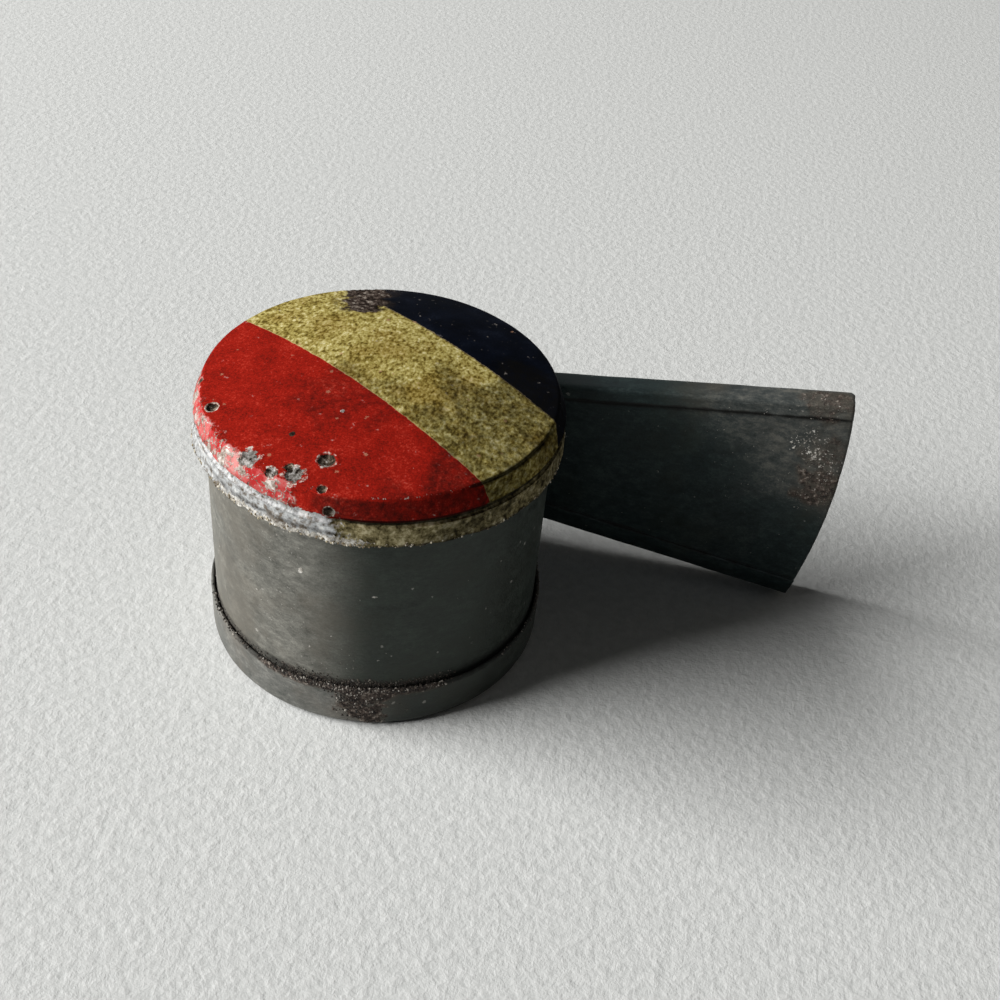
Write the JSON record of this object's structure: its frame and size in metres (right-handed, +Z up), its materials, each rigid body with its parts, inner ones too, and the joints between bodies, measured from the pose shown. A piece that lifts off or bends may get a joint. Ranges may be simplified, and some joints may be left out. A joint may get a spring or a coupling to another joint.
{
  "type": "water whistle",
  "caption": "Tin water whistle: a round drum with a domed slip-on lid in three diagonal colour stripes, a pressed base pan and a flat flared mouthpiece that blows along the drum's back.",
  "frame": {"origin": "centre of the base pan's underside, on the drum's axis, at the table", "axes": "+Z up along the drum's axis, +X along the mouthpiece towards its blowing end, +Y to the side of the drum where the mouthpiece and the sounding window are"},
  "size_m": [0.0535, 0.03, 0.0261],
  "materials": {
    "printed_tin": "printed red, cream and dark blue enamel on tinplate, worn and pitted",
    "drum_tin": "tarnished, streaked tinplate",
    "pan_tin": "tarnished tinplate with rust at the rim",
    "mouthpiece_tin": "blackened tinplate with rust at the blowing end",
    "solder": "dull grey solder"
  },
  "bodies": {
    "whistle": {"drum_wall": "drum_tin", "base_pan": "pan_tin", "mouthpiece_back_plate": "mouthpiece_tin", "mouthpiece_front_plate": "mouthpiece_tin", "side_seam_solder": "solder", "mouthpiece_solder": "solder", "base_solder": "solder"},
    "lid": {"lid": "printed_tin"}
  },
  "joints": [
    {"name": "lid_lift", "type": "slide", "parent": "whistle", "child": "lid", "axis": [0, 0, 1], "range_m": [0, 0.015]}
  ]
}
